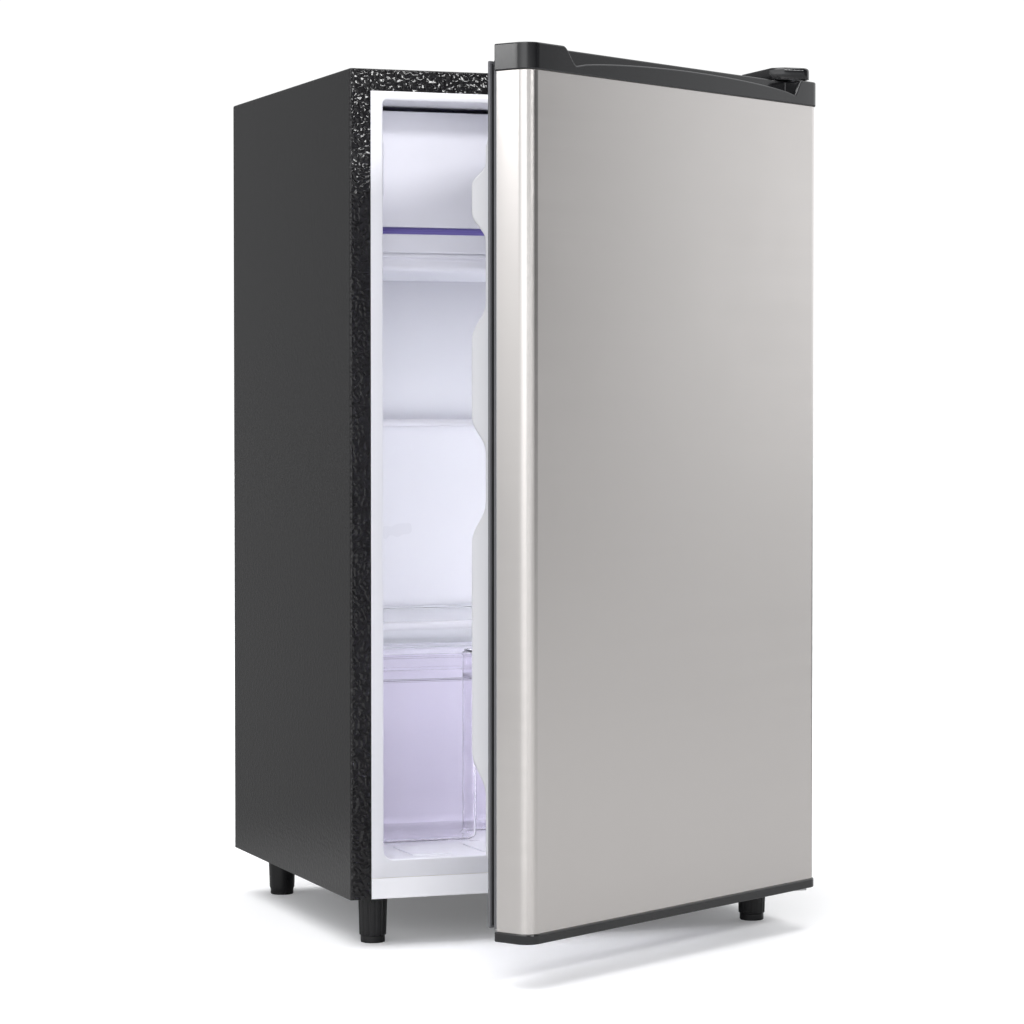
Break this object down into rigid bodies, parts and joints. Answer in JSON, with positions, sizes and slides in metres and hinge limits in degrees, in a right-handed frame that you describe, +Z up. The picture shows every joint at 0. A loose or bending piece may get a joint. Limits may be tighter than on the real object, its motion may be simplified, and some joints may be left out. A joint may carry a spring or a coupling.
{
  "type": "mini fridge",
  "caption": "Compact single-door refrigerator with freezer box, drip tray, glass shelves, stepped crisper drawer, door racks and levelling feet.",
  "frame": {"origin": "on the floor under the middle of the whole object, with its door open at its rest angle of 31.5 degrees", "axes": "+Z up, -Y out of the front of the cabinet, +X towards the hinge side"},
  "size_m": [0.4667, 0.6824, 0.8433],
  "materials": {
    "painted_shell": "fine leather-grain emboss, near-black paint",
    "white_liner": "satin white polystyrene",
    "white_rail": "white painted sheet",
    "frosted_white": "white moulded plastic",
    "insulation": "rigid polyurethane foam",
    "zinc_sheet": "zinc-plated sheet",
    "compressor_paint": "black enamel",
    "rubber_seal": "grey and black magnetic gasket",
    "rubber_mount": "moulded rubber",
    "black_plastic": "moulded black plastic",
    "gloss_black": "glossy black plastic",
    "copper_tube": "drawn copper",
    "evaporator_metal": "plain rolled aluminium",
    "shelf_glass": "clear tempered glass",
    "clear_plastic": "clear moulded plastic",
    "brushed_stainless": "fine horizontal brushing under a clear coat",
    "plated_steel": "plated steel",
    "bush_plastic": "plain white acetal"
  },
  "bodies": {
    "cabinet": {"outer_shell": "painted_shell", "back_panel": "painted_shell", "inner_liner": "white_liner", "foam_insulation": "insulation", "lower_front_rail": "white_rail", "base_plate": "zinc_sheet", "compressor_bulkhead": "zinc_sheet", "compressor_tray": "zinc_sheet", "compressor": "compressor_paint", "compressor_terminal_cover": "black_plastic", "compressor_grommet_1": "rubber_mount", "compressor_grommet_2": "rubber_mount", "compressor_grommet_3": "rubber_mount", "compressor_grommet_4": "rubber_mount", "discharge_pipe": "copper_tube", "suction_pipe": "copper_tube", "filter_drier": "copper_tube", "capillary_tube": "copper_tube", "condenser_tube_left": "copper_tube", "condenser_tube_right": "copper_tube", "evaporator": "evaporator_metal", "freezer_hinge_top": "white_liner", "freezer_hinge_bottom": "white_liner", "thermostat_housing": "white_liner", "cord_gland": "black_plastic", "top_hinge_bracket": "plated_steel", "top_hinge_cover": "gloss_black", "top_hinge_pin": "plated_steel", "bottom_hinge_bracket": "plated_steel", "bottom_hinge_pin": "plated_steel", "bottom_hinge_screw_1": "plated_steel", "bottom_hinge_screw_2": "plated_steel", "front_left_leg": "black_plastic", "front_right_leg": "black_plastic", "rear_left_foot": "black_plastic", "rear_right_foot": "black_plastic"},
    "door": {"door_skin": "brushed_stainless", "door_top_cap": "gloss_black", "door_bottom_cap": "gloss_black", "door_liner": "white_liner", "door_foam": "insulation", "door_gasket": "rubber_seal", "door_top_bush": "bush_plastic", "door_bottom_bush": "bush_plastic"},
    "freezer_flap": {"freezer_door": "frosted_white"},
    "drip_tray": {"drip_tray": "frosted_white"},
    "upper_shelf": {"upper_shelf_glass": "shelf_glass", "upper_shelf_trim": "white_liner", "upper_shelf_rear_trim": "white_liner"},
    "lower_shelf": {"lower_shelf_glass": "shelf_glass", "lower_shelf_trim": "white_liner", "lower_shelf_rear_trim": "white_liner"},
    "crisper": {"crisper_drawer": "clear_plastic"},
    "thermostat_knob": {"thermostat_knob": "white_liner"},
    "front_left_foot": {"front_left_foot": "black_plastic"},
    "front_right_foot": {"front_right_foot": "black_plastic"},
    "rack_top": {"door_rack_top": "frosted_white"},
    "rack_middle": {"door_rack_middle": "frosted_white"},
    "rack_bottom": {"door_rack_bottom": "frosted_white"}
  },
  "joints": [
    {"name": "door_hinge", "type": "hinge", "parent": "cabinet", "child": "door", "pos_m": [0.2125, -0.09777, 0.436], "axis": [0, 0, 1], "range_deg": [-31.5, 88.5]},
    {"name": "freezer_flap_hinge", "type": "hinge", "parent": "cabinet", "child": "freezer_flap", "pos_m": [0.187, -0.00277, 0.7428], "axis": [0, 0, 1], "range_deg": [0, 28]},
    {"name": "drip_tray_slide", "type": "slide", "parent": "cabinet", "child": "drip_tray", "axis": [0, -1, 0], "range_m": [0, 0.03]},
    {"name": "upper_shelf_slide", "type": "slide", "parent": "cabinet", "child": "upper_shelf", "axis": [0, -1, 0], "range_m": [0, 0.06]},
    {"name": "lower_shelf_slide", "type": "slide", "parent": "cabinet", "child": "lower_shelf", "axis": [0, -1, 0], "range_m": [0, 0.06]},
    {"name": "crisper_slide", "type": "slide", "parent": "cabinet", "child": "crisper", "axis": [0, -1, 0], "range_m": [0, 0.12]},
    {"name": "thermostat_turn", "type": "hinge", "parent": "cabinet", "child": "thermostat_knob", "pos_m": [0.1695, 0.09323, 0.603], "axis": [-1, 0, 0], "range_deg": [0, 270]},
    {"name": "front_left_foot_turn", "type": "hinge", "parent": "cabinet", "child": "front_left_foot", "pos_m": [-0.1995, -0.03177, 0], "axis": [0, 0, 1], "continuous": true},
    {"name": "front_right_foot_turn", "type": "hinge", "parent": "cabinet", "child": "front_right_foot", "pos_m": [0.1995, -0.03177, 0], "axis": [0, 0, 1], "continuous": true},
    {"name": "rack_top_lift", "type": "slide", "parent": "door", "child": "rack_top", "axis": [0, 0, 1], "range_m": [0, 0.03]},
    {"name": "rack_middle_lift", "type": "slide", "parent": "door", "child": "rack_middle", "axis": [0, 0, 1], "range_m": [0, 0.03]},
    {"name": "rack_bottom_lift", "type": "slide", "parent": "door", "child": "rack_bottom", "axis": [0, 0, 1], "range_m": [0, 0.03]}
  ]
}
